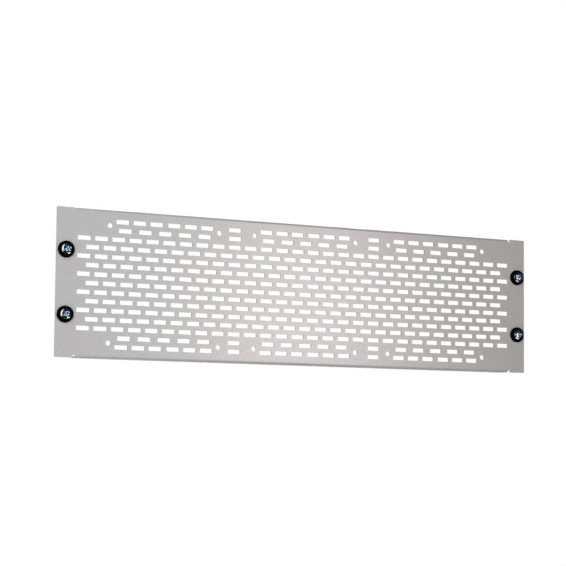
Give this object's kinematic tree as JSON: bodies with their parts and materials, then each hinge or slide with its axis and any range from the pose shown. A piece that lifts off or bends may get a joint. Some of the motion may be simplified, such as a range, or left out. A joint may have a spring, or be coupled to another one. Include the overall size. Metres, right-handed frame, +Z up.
{
  "type": "rack vent panel",
  "caption": "Slotted steel vent panel for an equipment rack, folded along its long edges, with fan screw holes and its rack screws and cup washers.",
  "frame": {"origin": "centre of the panel, on the back of its sheet, whose ears bear on the rack's posts; the four rack screws and the middle fan's screw holes are centred on it", "axes": "+X along the panel's width, to the right seen from the front; +Y from the front to the back, along the screws; +Z up"},
  "size_m": [0.4826, 0.0172, 0.1324],
  "materials": {
    "powder_coat": "light grey powder coat, fine texture, satin",
    "washer_plastic": "black moulded nylon",
    "screw_zinc": "bright zinc plate with a bluish cast"
  },
  "bodies": {
    "root": {"vent_panel": "powder_coat", "cup_washers": "washer_plastic", "screws": "screw_zinc"}
  },
  "joints": []
}
